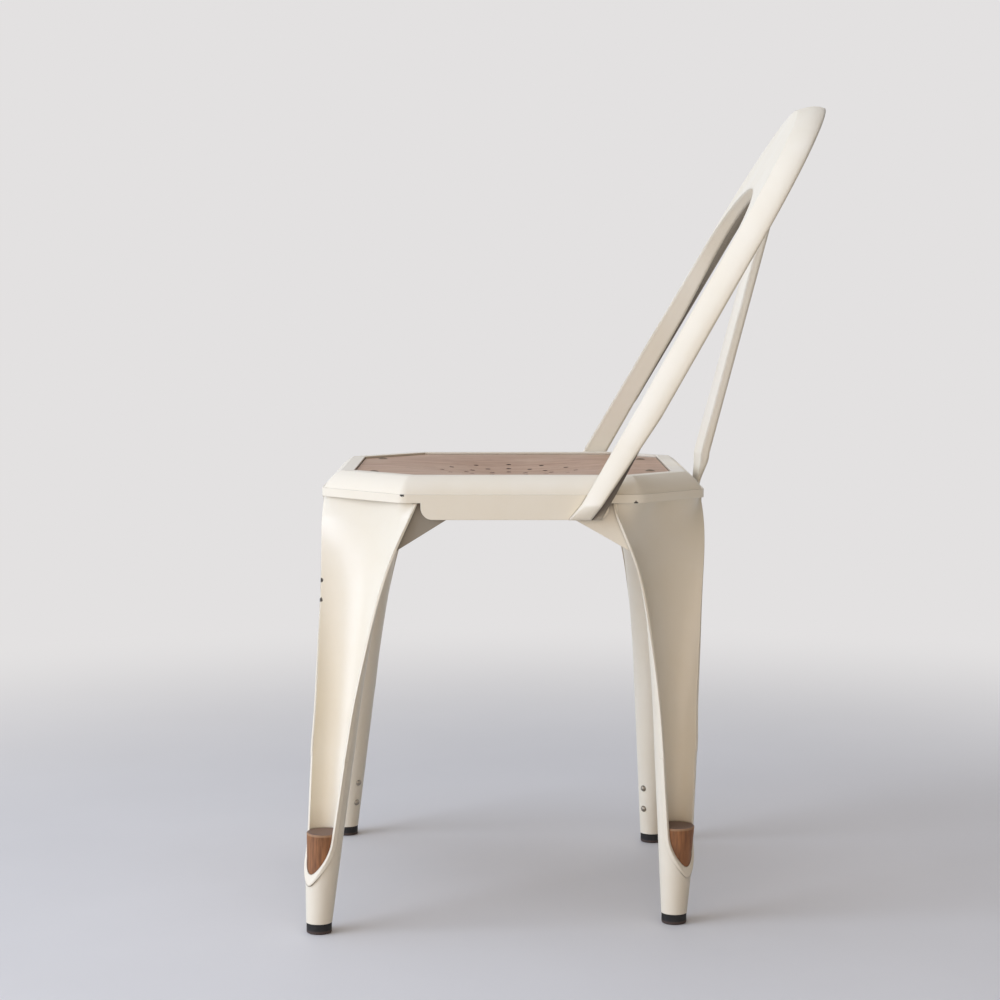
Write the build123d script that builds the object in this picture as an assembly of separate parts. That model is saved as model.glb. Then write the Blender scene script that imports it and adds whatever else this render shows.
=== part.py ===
"""Stacking dining chair: pressed sheet-steel legs, seat pan and back, with a wooden seat panel.

Frame: +Z up, the sitter faces -Y, the sitter's left is +X. The shapes are drawn about the
middle of the seat, then moved so that the origin is the middle of the footprint on the floor.
"""

import os
from math import atan2, cos, pi, radians, sin, sqrt, tan

from build123d import *

# Sheet and fits
SHEET = 1.5                 # steel sheet of legs, pan and back
FIT = 0.3                   # room between pieces that nest or pass through each other
TOUCH = 0.1                 # room between flat pieces that are welded face to face

# Seat pan
SEAT_HEIGHT = 450.0
SEAT_WIDTH = 384.0
SEAT_DEPTH = 387.0
FRONT_CORNER = 83.0         # leg of the 45 degree corner cut, front and rear
REAR_CORNER = 67.0
CORNER_ROUND = 16.0         # bend of the sheet at the eight corners
PANEL_ROUND = 2.0           # the same at the panel opening
RIM_MARGIN = 32.0           # outer edge to panel opening
BEVEL_DROP = 17.0
BEVEL_RUN = 17.0
BEVEL_BULGE = 3.0           # how far the bevel stands out from a straight slope
BAND_PROUD = 2.2            # the band stands out past the foot of the bevel
BAND_HEIGHT = 8.5
APRON_HEIGHT = 25.0
APRON_END_FRONT = 20.0      # corner to the end of the apron, front and rear corners
APRON_END_REAR = 32.0
APRON_CORNER_RADIUS = 12.0
LEDGE_WIDTH = 10.0          # narrowest part of the ledge round its hole

# Wooden seat panel
PANEL_THICKNESS = 8.0
PANEL_RECESS = 2.2
PANEL_GAP = 0.8
DISH_MARGIN = 4.0           # the dish ends inside the ledge's hole
DISH_DEPTH = 9.5
PERFORATION_RADIUS = 2.7
PERFORATION_RINGS = ((20.5, 6), (45.0, 12), (71.0, 12))   # ring radius and number of holes
PERFORATION_SHIFT = -3.0    # the rings sit a little ahead of the middle

# Panel bolts
FRONT_BOLT_X = 91.0
REAR_BOLT_X = 82.0
BOLT_INSET = 20.0           # panel edge to bolt
BOLT_RADIUS = 2.5
BOLT_HEAD_RADIUS = 5.5
BOLT_HEAD_HEIGHT = 1.6
BOLT_TAIL = 2.0             # thread that shows past the nut
NUT_FLATS = 8.0
NUT_HEIGHT = 4.0

# Legs
FRONT_SPLAY = (16.0, -1.5)  # centre of the foot outside the seat's side and end
REAR_SPLAY = (-21.0, -31.5)
FOOT_HEIGHT = 10.5
TUBE_RADIUS = 12.2          # tube carried down to the floor
TUBE_TAPER = 0.073          # radius gained for each mm of height
TUBE_DROP = 280.0           # the tapered tube turns into the flared channel this far below the seat
CHANNEL_DEPTH = 26.0        # depth of the channel where the flare starts
# distance below the seat, half width and depth of the channel above the tube
FLARE = ((245.0, 27.0, 26.0), (210.0, 30.3, 25.6), (175.0, 35.0, 24.8), (140.0, 40.0, 23.4), (105.0, 46.5, 21.2),
         (75.0, 54.5, 16.5))
KNEE_DROP = 85.0            # the back of the leg is straight below and upright above
FRONT_SCOOP = 8.0           # hollow of the leg's top between its two bends
REAR_SCOOP = 18.0
FRONT_FLAP = 18.0           # leg sheet turned round the corner on to the side
REAR_FLAP = 27.0
HOLLOW_STEPS = (0.3, 0.6, 0.85)     # points drawn across half the hollow and along the flap
FLAP_STEPS = (0.1, 0.5, 1.0)
LEG_TUCK = 20.0             # leg's top edge below the seat surface
LEG_GAP = 1.2               # band to leg, before the sheet swells out below
MOUTH_TIP = 51.0
MOUTH_LEAD = (4.0, 1.0)     # the cut starts this far below its tip and outside the tube
MOUTH_SHOULDER = 92.0       # the edge of the mouth runs along the leg from here up
MOUTH_DEPTH = 24.0          # depth of the channel at the shoulder
HEM = 1.2                   # the edges of the leg are folded back: extra thickness and width
HEM_WIDTH = 5.0

# Gussets between leg and apron
FRONT_GUSSET = 46.0         # corner to the end of the gusset
REAR_GUSSET = 66.0
GUSSET_LAP = 1.0            # the gusset runs this far behind the edge of the leg

# Wooden pegs, screws, rubber feet and nails
PEG_TOP = 99.0
PEG_ROUND = 1.2
SCREW_HEIGHTS = (40.0, 64.0)
SCREW_RADIUS = 1.75
SCREW_LENGTH = 16.0
SCREW_HEAD_RADIUS = 3.6
SCREW_HEAD_HEIGHT = 2.4
FOOT_RADIUS = 12.5
FOOT_ROUND = 1.5
NAIL_RADIUS = 1.5
NAIL_LENGTH = 26.0
NAIL_HEAD_RADIUS = 4.0
NAIL_HEAD_HEIGHT = 1.5
NAIL_RECESS = 3.0           # nail head above the floor

# Back hoop, drawn in its own leaning plane
HOOP_LEAN = 30.0
HOOP_FOOT_Y = 58.7          # front face of the hoop at the bottom of the apron
HOOP_DEPTH = 24.0
ARM_WIDTH = 22.0            # width of each arm beside the seat, at the bottom
HOOP_SHOULDER = 178.0       # half width where the round top starts
HOOP_SHOULDER_HEIGHT = 332.0
HOOP_BASE_ROUND = 12.0      # how far the rounded edge comes in at the front face
HOOP_SHOULDER_ROUND = 20.0
HOOP_FRONT_RISE = 4.6       # the round top starts this much higher at the front face
HOOP_ROUND_STEPS = (0.0, 0.35, 0.7, 1.0)   # share of the depth, from the front to the back
HOOP_ROUND_POWER = 1.8      # 1 is a flat bevel, more is rounder
OPENING_STRAIGHT = 52.0     # the arms run straight past the seat up to here
OPENING_SHOULDER = 156.0
OPENING_SHOULDER_HEIGHT = 300.0
OPENING_TIP = 382.0
FLANGE_START = 40.0         # the inner flange has the hoop's full depth up to here
FLANGE_BEND = (240.0, 20.0)     # then it gets shallower: distance up the slope, and depth
FLANGE_TIP = 11.5           # depth at the tip of the opening
WALL_CUT = 9.0              # the outer wall's rear edge is cut back this far at the bottom
WALL_CUT_TOP = 130.0        # and less and less up to here
ARM_TAB_RISE = 15.0         # each arm is squeezed flat over this height
ARM_TAB_FRONT = 4.0         # the flat end reaches this far ahead of the arm
ARM_TAB_LENGTH = 32.0
ARM_TAB_THICKNESS = 3.4

# Back bar
BAR_LAP = 6.5               # the flat foot of the bar laps the band by this
BAR_BEND = 36.0             # height of the bend from the flat foot to the full channel
BAR_RISE = 350.0            # top of the bar above the seat
BAR_LEAN = 14.7
BAR_DEPTH = 13.0
BAR_FOOT_DEPTH = 2.6
BAR_FOOT_WIDTH = 66.0
BAR_TOP_WIDTH = 54.0
BAR_BULGE = 4.0
BAR_BEND_STEPS = (0.0, 0.25, 0.5, 0.75, 1.0)   # share of the bend, from the foot up

HALF_TURN = 180.0           # degrees
ROOT_HALF = sqrt(0.5)
RIDGE = SEAT_HEIGHT - BEVEL_DROP
BAND_BOTTOM = RIDGE - BAND_HEIGHT
APRON_BOTTOM = RIDGE - APRON_HEIGHT
HALF_WIDTH = SEAT_WIDTH / 2
HALF_DEPTH = SEAT_DEPTH / 2
PANEL_TOP = SEAT_HEIGHT - PANEL_RECESS
LEDGE_TOP = PANEL_TOP - PANEL_THICKNESS
LEG_TOP = SEAT_HEIGHT - LEG_TUCK
LEDGE_RADIUS = min(HALF_WIDTH, HALF_DEPTH) - RIM_MARGIN - LEDGE_WIDTH
DISH_RADIUS = LEDGE_RADIUS - DISH_MARGIN
LEG_INSET = SHEET + LEG_GAP
TUBE_TOP = SEAT_HEIGHT - TUBE_DROP
KNEE_HEIGHT = SEAT_HEIGHT - KNEE_DROP
HOOP_BASE = HALF_WIDTH + ARM_WIDTH
BAR_FOOT = RIDGE - BAR_LAP
BAR_TOP = SEAT_HEIGHT + BAR_RISE
TALL = 2 * SEAT_HEIGHT      # longer than anything that has to be cut away


def octagon(inset, height):
    """Face of the seat outline, drawn in by inset, at a height."""
    half_x = HALF_WIDTH - inset
    half_y = HALF_DEPTH - inset
    front = FRONT_CORNER - inset * (2 - sqrt(2))
    rear = REAR_CORNER - inset * (2 - sqrt(2))
    right = [(half_x - front, -half_y), (half_x, front - half_y),
             (half_x, half_y - rear), (half_x - rear, half_y)]
    left = [(-x, y) for x, y in reversed(right)]
    outline = make_face(Polyline(*right, *left, close=True))
    return Pos(0, 0, height) * fillet(outline.vertices(), max(CORNER_ROUND - inset, PANEL_ROUND))


def rim_block(inset, bottom):
    """Filled outer form of the seat pan, drawn in by inset all round and at the top."""
    ridge = RIDGE - inset / 2
    skirt = extrude(octagon(inset, bottom), amount=ridge - bottom)
    drop = SEAT_HEIGHT - inset - ridge
    foot = inset + BAND_PROUD
    middle = foot + BEVEL_RUN / 2 - BEVEL_BULGE
    crown = loft([octagon(foot, ridge), octagon(middle, ridge + drop / 2),
                  octagon(foot + BEVEL_RUN, ridge + drop)])
    return skirt + crown


def apron_window(length, middle, direction):
    """Space that an apron may fill below the band, with round lower ends."""
    profile = Rectangle(length, 2 * APRON_HEIGHT, align=(Align.CENTER, Align.MIN))
    profile = fillet(profile.vertices().group_by(Axis.Y)[0], APRON_CORNER_RADIUS)
    frame = Plane(origin=(0, 0, APRON_BOTTOM), x_dir=Vector(0, 0, 1).cross(direction), z_dir=direction)
    return frame * Pos(middle, 0, 0) * extrude(profile, amount=SEAT_DEPTH)


def seat_pan():
    """Pressed rim with bevel, band and four aprons, and the ledge under the panel."""
    shell = rim_block(0, APRON_BOTTOM) - rim_block(SHEET, APRON_BOTTOM - SHEET)
    shell -= extrude(octagon(RIM_MARGIN, RIDGE), amount=BEVEL_DROP + SHEET)
    upper = shell & Pos(0, 0, BAND_BOTTOM) * Box(SEAT_WIDTH, SEAT_DEPTH, TALL, align=FLOOR_ALIGN)
    side_front = HALF_DEPTH - FRONT_CORNER - APRON_END_FRONT
    side_rear = HALF_DEPTH - REAR_CORNER - APRON_END_REAR
    side_length = side_front + side_rear
    side_middle = (side_rear - side_front) / 2
    front_length = 2 * (HALF_WIDTH - FRONT_CORNER - APRON_END_FRONT)
    rear_length = 2 * (HALF_WIDTH - REAR_CORNER - APRON_END_REAR)
    windows = apron_window(side_length, side_middle, Vector(1, 0, 0))
    windows += apron_window(side_length, -side_middle, Vector(-1, 0, 0))
    windows += apron_window(front_length, 0, Vector(0, -1, 0))
    windows += apron_window(rear_length, 0, Vector(0, 1, 0))
    lower = shell & Pos(0, 0, BAND_BOTTOM) * Box(SEAT_WIDTH, SEAT_DEPTH, TALL, align=CEILING_ALIGN)
    pan = upper + (lower & windows)
    ledge_bottom = LEDGE_TOP - SHEET
    lip_height = SEAT_HEIGHT - ledge_bottom
    pan += extrude(octagon(RIM_MARGIN - SHEET, ledge_bottom), amount=lip_height)
    pan -= extrude(octagon(RIM_MARGIN, LEDGE_TOP), amount=lip_height)
    pan -= Pos(0, 0, ledge_bottom) * Cylinder(LEDGE_RADIUS, lip_height, align=FLOOR_ALIGN)
    for x, y in bolt_places():
        pan -= Pos(x, y, ledge_bottom) * Cylinder(BOLT_RADIUS + FIT, TALL)
    return pan


def bolt_places():
    """The four bolts that hold the panel on the ledge."""
    y = HALF_DEPTH - RIM_MARGIN - BOLT_INSET
    return [(side * x, y * end) for x, end in ((FRONT_BOLT_X, -1), (REAR_BOLT_X, 1)) for side in (1, -1)]


def seat_panel():
    """Moulded plywood panel, dished in the middle and perforated in rings."""
    reach = SEAT_WIDTH
    bottom = PANEL_TOP - PANEL_THICKNESS
    dished = [Spline((0, z - DISH_DEPTH), (DISH_RADIUS, z), tangents=((1, 0), (1, 0)))
              for z in (bottom, PANEL_TOP)]
    edge = Polyline((DISH_RADIUS, bottom), (reach, bottom), (reach, PANEL_TOP), (DISH_RADIUS, PANEL_TOP))
    axis = Line((0, PANEL_TOP - DISH_DEPTH), (0, bottom - DISH_DEPTH))
    profile = Plane.XZ * make_face(dished[0] + edge + dished[1] + axis)
    blank = revolve(profile, Axis.Z)
    trim = octagon(RIM_MARGIN + PANEL_GAP, bottom - 2 * DISH_DEPTH)
    panel = blank & extrude(trim, amount=4 * DISH_DEPTH)
    holes = [Pos(x, y, bottom) * Cylinder(BOLT_RADIUS + FIT, TALL) for x, y in bolt_places()]
    for radius, count in PERFORATION_RINGS:
        ring = PolarLocations(radius, count)
        middle = Pos(0, PERFORATION_SHIFT, bottom)
        holes += [middle * place * Cylinder(PERFORATION_RADIUS, 4 * PANEL_THICKNESS) for place in ring]
    return panel - holes


def dome_head(radius, height):
    """Round screw or bolt head, flat side on the XY plane."""
    ball = (radius ** 2 + height ** 2) / (2 * height)
    return Pos(0, 0, height - ball) * Sphere(ball) & Cylinder(radius, height, align=FLOOR_ALIGN)


def panel_bolt():
    """Round-headed bolt through panel and ledge, head on the panel."""
    length = PANEL_THICKNESS + SHEET + NUT_HEIGHT + BOLT_TAIL
    head = dome_head(BOLT_HEAD_RADIUS, BOLT_HEAD_HEIGHT)
    return Pos(0, 0, PANEL_TOP) * (head + Cylinder(BOLT_RADIUS, length, align=CEILING_ALIGN))


def panel_nut():
    """Hexagon nut under the ledge."""
    hexagon = RegularPolygon(NUT_FLATS / 2, 6, major_radius=False)
    ring = hexagon - Circle(BOLT_RADIUS + TOUCH)
    return Pos(0, 0, LEDGE_TOP - SHEET - NUT_HEIGHT) * extrude(ring, amount=NUT_HEIGHT)


def arc_size(half, depth):
    """Radius and half angle of an arc, from its half width and depth."""
    radius = (half ** 2 + depth ** 2) / (2 * depth)
    return radius, atan2(half, radius - depth)


class Corner:
    """One left-hand corner of the chair, with the line that its leg follows."""

    def __init__(self, side, cut, splay, scoop, flap, gusset):
        """side is -1 at the front and 1 at the rear."""
        self.side = side
        self.cut = cut
        self.foot = Vector(HALF_WIDTH + splay[0], side * (HALF_DEPTH + splay[1]))
        self.scoop = scoop
        self.flap = flap
        self.gusset = gusset
        self.outward = Vector(ROOT_HALF, side * ROOT_HALF)
        self.across = Vector(side * ROOT_HALF, -ROOT_HALF)
        self.middle = Vector(HALF_WIDTH - cut / 2, side * (HALF_DEPTH - cut / 2))

    def spine(self, height):
        """Back of the leg's channel at a height."""
        start = self.foot - self.outward * TUBE_RADIUS
        end = self.middle - self.outward * (LEG_INSET + SHEET + self.scoop)
        point = start + (end - start) * min(height / KNEE_HEIGHT, 1)
        return Vector(point.X, point.Y, height)

    def plane(self, height):
        """Level plane at the spine, with Y pointing out of the chair's corner."""
        return Plane(origin=self.spine(height), x_dir=self.across, z_dir=(0, 0, 1))

    def circle(self, height, shrink):
        """Level section of the tapered tube."""
        radius = TUBE_RADIUS + TUBE_TAPER * height
        return self.plane(height) * Pos(0, radius) * Circle(radius - shrink)

    def cone(self, bottom, top, shrink):
        """Filled tapered tube between two heights."""
        return loft([self.circle(bottom, shrink), self.circle(top, shrink)], ruled=True)

    def arc_section(self, drop, half, depth):
        """Section of the channel as an arc of sheet."""
        radius, angle = arc_size(half, depth)
        arcs = []
        for r in (radius, radius - SHEET):
            end = (r * sin(angle), radius - r * cos(angle))
            arcs.append(((-end[0], end[1]), (0, radius - r), end))
        back, face = (ThreePointArc(*arc) for arc in arcs)
        ends = Line(arcs[0][0], arcs[1][0]) + Line(arcs[0][2], arcs[1][2])
        return self.plane(SEAT_HEIGHT - drop) * make_face(back + face + ends)

    def hem_section(self, drop, half, depth, hand):
        """Section of the fold along one edge of the channel; hand is 1 or -1."""
        radius, angle = arc_size(half, depth)
        start = angle - HEM_WIDTH / radius
        end = angle + FIT / radius
        sunk = radius - SHEET / 2
        proud = radius + HEM
        corners = [(sunk, start), (proud, start), (proud, end), (sunk, end)]
        points = [(hand * r * sin(turn), radius - r * cos(turn)) for r, turn in corners]
        return self.plane(SEAT_HEIGHT - drop) * make_face(Polyline(*points, close=True))

    def top_size(self):
        """Half width of the hollow, depth of its bends and run of each flap, under the seat."""
        bend = self.cut * ROOT_HALF - LEG_INSET * (sqrt(2) - 1)
        return bend, self.scoop + SHEET, self.flap * ROOT_HALF

    def top_hem(self, hand):
        """Section of the fold at the end of one flap."""
        bend, base, flap = self.top_size()
        end = Vector(bend + flap, base - flap)
        along = Vector(ROOT_HALF, -ROOT_HALF)
        behind = Vector(-ROOT_HALF, -ROOT_HALF)
        start = end - along * HEM_WIDTH
        finish = end + along * FIT
        sunk = behind * (SHEET / 2)
        proud = behind * (SHEET + HEM)
        corners = [start + sunk, start + proud, finish + proud, finish + sunk]
        points = [(hand * corner.X, corner.Y) for corner in corners]
        return self.plane(LEG_TOP) * make_face(Polyline(*points, close=True))

    def top_section(self):
        """Section under the seat: a shallow hollow with a flap turned round each bend."""
        bend, base, flap = self.top_size()
        hollow = [(bend * share, base - self.scoop * cos(pi / 2 * share) ** 2) for share in HOLLOW_STEPS]
        right = hollow + [(bend + flap * share, base - flap * share) for share in FLAP_STEPS]
        face = [(-x, y) for x, y in reversed(right)] + [(0, SHEET)] + right
        back = []
        for before, point, after in zip([face[0]] + face, face, face[1:] + [face[-1]]):
            run = Vector(*after) - Vector(*before)
            normal = Vector(run.Y, -run.X).normalized()
            back.append(Vector(*point) + normal * SHEET)
        ends = Line(face[0], back[0]) + Line(face[-1], back[-1])
        return self.plane(LEG_TOP) * make_face(Spline(*face) + Spline(*back) + ends)

    def mouth(self, grow):
        """Space cut from the outer side of the tube, drawn from the side: pointed below, straight above."""
        def beyond_spine(height, depth):
            return Vector(self.spine(height).dot(self.outward) + depth, height)

        below, outside = MOUTH_LEAD
        start = beyond_spine(MOUTH_TIP - below - grow, 2 * (TUBE_RADIUS + TUBE_TAPER * MOUTH_TIP) + outside)
        shoulder = beyond_spine(MOUTH_SHOULDER, MOUTH_DEPTH - grow)
        top = beyond_spine(TUBE_TOP + SHEET, CHANNEL_DEPTH - grow)
        along = top - shoulder
        wide = Vector(2 * CHANNEL_DEPTH, 0)
        edge = Spline(start, shoulder, tangents=(along, along))
        outline = make_face(edge + Polyline(shoulder, top, top + wide, start + wide, start))
        frame = Plane(origin=(0, 0, 0), x_dir=self.outward, z_dir=self.outward.cross(Vector(0, 0, 1)))
        return frame * extrude(outline, amount=SEAT_DEPTH, both=True)

    def leg(self):
        """Rolled tube at the foot that opens into a flared channel under the seat."""
        tube = self.cone(FOOT_HEIGHT, TUBE_TOP, 0) - self.cone(FOOT_HEIGHT, TUBE_TOP, SHEET)
        radius = TUBE_RADIUS + TUBE_TAPER * TUBE_TOP
        half = sqrt(radius ** 2 - (radius - CHANNEL_DEPTH) ** 2)
        stations = [(TUBE_DROP, half, CHANNEL_DEPTH)] + list(FLARE)
        flare = loft([self.arc_section(*station) for station in stations] + [self.top_section()])
        fold = self.cone(FOOT_HEIGHT, TUBE_TOP, -HEM) - self.cone(FOOT_HEIGHT, TUBE_TOP, SHEET / 2)
        leg = tube + (fold & self.mouth(HEM_WIDTH)) - self.mouth(0) + flare
        for hand in (1, -1):
            leg += loft([self.hem_section(*station, hand) for station in stations] + [self.top_hem(hand)])
        for height in SCREW_HEIGHTS:
            leg -= self.screw_frame(height) * Cylinder(SCREW_RADIUS + FIT, 4 * SHEET)
        return leg

    def screw_frame(self, height):
        """Frame on the inner side of the tube, Z pointing in towards the chair's middle."""
        rise = self.spine(TUBE_TOP) - self.spine(0)
        inward = self.across.cross(rise)
        if inward.dot(self.outward) > 0:
            inward = inward * -1
        return Plane(origin=self.spine(height), x_dir=self.across, z_dir=inward)

    def peg(self):
        """Wooden peg in the tube, holed for its screws and the foot's nail."""
        peg = self.cone(FOOT_HEIGHT, PEG_TOP, SHEET + FIT)
        peg = fillet(peg.edges().group_by(Axis.Z)[-1], PEG_ROUND)
        for height in SCREW_HEIGHTS:
            hole = Cylinder(SCREW_RADIUS + TOUCH, SCREW_LENGTH + FIT, align=CEILING_ALIGN)
            peg -= self.screw_frame(height) * hole
        nail = Cylinder(NAIL_RADIUS + TOUCH, NAIL_LENGTH + FIT, align=FLOOR_ALIGN)
        return peg - self.foot_frame(NAIL_RECESS) * nail

    def screws(self):
        """Two round-headed screws from the inner side of the tube into the peg."""
        head = dome_head(SCREW_HEAD_RADIUS, SCREW_HEAD_HEIGHT)
        screw = Pos(0, 0, TOUCH) * (head + Cylinder(SCREW_RADIUS, SCREW_LENGTH, align=CEILING_ALIGN))
        return [self.screw_frame(height) * screw for height in SCREW_HEIGHTS]

    def foot_frame(self, height):
        """Level frame on the foot's own centre line."""
        middle = self.spine(FOOT_HEIGHT) + self.outward * (TUBE_RADIUS + TUBE_TAPER * FOOT_HEIGHT)
        return Plane(origin=(middle.X, middle.Y, height))

    def rubber_foot(self):
        """Rubber disc under the tube, with a recess for its nail."""
        disc = Cylinder(FOOT_RADIUS, FOOT_HEIGHT, align=FLOOR_ALIGN)
        disc = fillet(disc.edges().group_by(Axis.Z)[0], FOOT_ROUND)
        disc -= Cylinder(NAIL_HEAD_RADIUS + FIT, NAIL_RECESS + NAIL_HEAD_HEIGHT, align=FLOOR_ALIGN)
        return self.foot_frame(0) * (disc - Cylinder(NAIL_RADIUS + TOUCH, TALL))

    def nail(self):
        """Flat-headed nail through the rubber foot into the peg."""
        head = Cylinder(NAIL_HEAD_RADIUS, NAIL_HEAD_HEIGHT, align=FLOOR_ALIGN)
        shank = Cylinder(NAIL_RADIUS, NAIL_LENGTH, align=FLOOR_ALIGN)
        return self.foot_frame(NAIL_RECESS) * (head + shank)

    def gussets(self):
        """Two flat wings behind the leg's flaps, one along each apron."""
        top = LEG_TOP - SHEET
        drop, half, depth = FLARE[-1]
        edge_out = depth - LEG_INSET - SHEET - self.scoop
        low_edge = (half - self.cut * ROOT_HALF - edge_out) * ROOT_HALF
        outline = make_face(Polyline(
            (self.flap - GUSSET_LAP, top), (self.gusset, top), (self.gusset, APRON_BOTTOM),
            (low_edge - GUSSET_LAP, SEAT_HEIGHT - drop), close=True))
        inset = LEG_INSET + SHEET + HEM + 2 * FIT
        wing = extrude(outline, amount=SHEET)
        along_side = Plane(origin=(HALF_WIDTH - inset, self.side * (HALF_DEPTH - self.cut), 0),
                           x_dir=(0, -self.side, 0), z_dir=(-self.side, 0, 0))
        along_end = Plane(origin=(HALF_WIDTH - self.cut, self.side * (HALF_DEPTH - inset), 0),
                          x_dir=(-1, 0, 0), z_dir=(0, 1, 0))
        lift = 0 if self.side > 0 else -SHEET
        drawn_in = -SHEET if self.side > 0 else 0
        return [along_side * Pos(0, 0, lift) * wing, along_end * Pos(0, 0, drawn_in) * wing]


def hoop_plane():
    """Leaning plane of the hoop's front face: X across, Y up the slope, Z out of the front."""
    lean = radians(HOOP_LEAN)
    return Plane(origin=(0, HOOP_FOOT_Y, APRON_BOTTOM), x_dir=(1, 0, 0), z_dir=(0, -cos(lean), sin(lean)))


def arch(base, shoulder, shoulder_height, bottom):
    """Closed outline of straight legs that lean in to a round top."""
    lean = atan2(base - shoulder, shoulder_height)
    radius = shoulder / cos(lean)
    top = shoulder_height + radius * (1 - sin(lean))
    foot = base + (base - shoulder) / shoulder_height * -bottom
    legs = Line((foot, bottom), (shoulder, shoulder_height)) + Line((-shoulder, shoulder_height), (-foot, bottom))
    crown = ThreePointArc((shoulder, shoulder_height), (0, top), (-shoulder, shoulder_height))
    return make_face(legs + crown + Line((-foot, bottom), (foot, bottom)))


def hoop_edge(share, shrink):
    """Half width at base and shoulder, and height of the shoulder, at a share of the hoop's depth."""
    come_in = (1 - share) ** HOOP_ROUND_POWER
    return (HOOP_BASE - shrink - HOOP_BASE_ROUND * come_in,
            HOOP_SHOULDER - shrink - HOOP_SHOULDER_ROUND * come_in,
            HOOP_SHOULDER_HEIGHT + HOOP_FRONT_RISE * come_in)


def hoop_block(shrink):
    """Filled form of the hoop with its rounded outer edge, drawn in by shrink."""
    layers = [Pos(0, 0, -shrink - HOOP_DEPTH * share) * arch(*hoop_edge(share, shrink), -HOOP_DEPTH)
              for share in HOOP_ROUND_STEPS]
    return hoop_plane() * loft(layers)


def side_prism(points):
    """Prism right across the chair, drawn from the side as distances up the hoop's slope and behind its face."""
    face = hoop_plane()
    frame = Plane(origin=face.origin, x_dir=face.y_dir, z_dir=(1, 0, 0))
    outline = make_face(Polyline(*[(up, -behind) for up, behind in points], close=True))
    return frame * extrude(outline, amount=SEAT_WIDTH, both=True)


def opening(grow, depth):
    """Space inside the hoop's arms, from its front face to a depth."""
    hip = HALF_WIDTH + TOUCH + grow
    shoulder = OPENING_SHOULDER + grow
    tip = OPENING_TIP + grow
    rise = tip - OPENING_SHOULDER_HEIGHT
    sides = Polyline((-shoulder, OPENING_SHOULDER_HEIGHT), (-hip, OPENING_STRAIGHT), (-hip, -HOOP_DEPTH),
                     (hip, -HOOP_DEPTH), (hip, OPENING_STRAIGHT), (shoulder, OPENING_SHOULDER_HEIGHT))
    crown = EllipticalCenterArc((0, OPENING_SHOULDER_HEIGHT), shoulder, rise, start_angle=0, arc_size=HALF_TURN)
    return hoop_plane() * extrude(make_face(sides + crown), amount=-depth)


def arm_end(shrink):
    """Lower end of the left arm, filled: squeezed from the round arm to a flat end on the apron."""
    height = APRON_BOTTOM + ARM_TAB_RISE
    inner = HALF_WIDTH + TOUCH + shrink
    beside_seat = Pos(inner, 0, height) * Rectangle(SEAT_WIDTH, TALL, align=(Align.MIN, Align.CENTER))
    arm = section(hoop_block(shrink), section_by=Plane.XY.offset(height)) & beside_seat
    flat = Rectangle(ARM_TAB_THICKNESS - 2 * shrink, ARM_TAB_LENGTH, align=(Align.MIN, Align.MIN))
    return loft([Pos(inner, HOOP_FOOT_Y - ARM_TAB_FRONT + shrink, APRON_BOTTOM) * flat, arm.face()])


def back_hoop():
    """Pressed hoop, open at the back, whose arms end flat on the side aprons."""
    hoop = hoop_block(0) - hoop_block(SHEET)
    hoop -= opening(0, 2 * HOOP_DEPTH)
    flange = (opening(SHEET, HOOP_DEPTH) - opening(0, HOOP_DEPTH)) & hoop_block(0)
    beyond = OPENING_TIP + HOOP_DEPTH
    hoop += flange & side_prism([(-HOOP_DEPTH, -SHEET), (-HOOP_DEPTH, HOOP_DEPTH), (FLANGE_START, HOOP_DEPTH),
                                 FLANGE_BEND, (OPENING_TIP, FLANGE_TIP), (beyond, FLANGE_TIP), (beyond, -SHEET)])
    hoop &= Pos(0, 0, APRON_BOTTOM + ARM_TAB_RISE) * Box(TALL, TALL, TALL, align=FLOOR_ALIGN)
    end = arm_end(0) - arm_end(SHEET)
    hoop += [end, mirror(end, Plane.YZ)]
    slope = WALL_CUT / WALL_CUT_TOP
    behind = side_prism([(WALL_CUT_TOP, HOOP_DEPTH), (-HOOP_DEPTH, HOOP_DEPTH - WALL_CUT - slope * HOOP_DEPTH),
                         (-HOOP_DEPTH, 2 * HOOP_DEPTH), (WALL_CUT_TOP, 2 * HOOP_DEPTH)])
    return hoop - (behind - Box(2 * (HALF_WIDTH + TOUCH + SHEET), TALL, 2 * TALL))


def bar_section(height, width, depth, shrink):
    """Level section of the back bar: flat flanges and a rounded front."""
    bend_top = BAR_FOOT + BAR_BEND
    lean = max(height - bend_top, 0) * tan(radians(BAR_LEAN))
    front = HALF_DEPTH + FIT + lean
    back = front + depth + shrink
    half = width / 2 - shrink
    front += shrink
    cheek = front + BAR_BULGE * depth / BAR_DEPTH
    sides = Polyline((half, cheek), (half, back), (-half, back), (-half, cheek))
    return Pos(0, 0, height) * make_face(sides + ThreePointArc((half, cheek), (0, front), (-half, cheek)))


def bar_block(shrink):
    """Filled form of the back bar, drawn in by shrink and open at the back."""
    bend = []
    for share in BAR_BEND_STEPS:
        depth = BAR_FOOT_DEPTH + (BAR_DEPTH - BAR_FOOT_DEPTH) * share ** 2 * (3 - 2 * share)
        bend.append(bar_section(BAR_FOOT + BAR_BEND * share, BAR_FOOT_WIDTH, depth, shrink))
    top = bar_section(BAR_TOP, BAR_TOP_WIDTH, BAR_DEPTH, shrink)
    return loft(bend) + loft([bend[-1], top], ruled=True)


def back_bar():
    """Tapered channel from its flat foot behind the band up to the back of the hoop's crest."""
    bar = bar_block(0) - bar_block(SHEET)
    ahead = Box(TALL, 2 * TALL, TALL, align=FLOOR_ALIGN)
    return bar - hoop_plane() * Pos(0, 0, -SHEET - TOUCH) * ahead


FLOOR_ALIGN = (Align.CENTER, Align.CENTER, Align.MIN)
CEILING_ALIGN = (Align.CENTER, Align.CENTER, Align.MAX)


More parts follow.
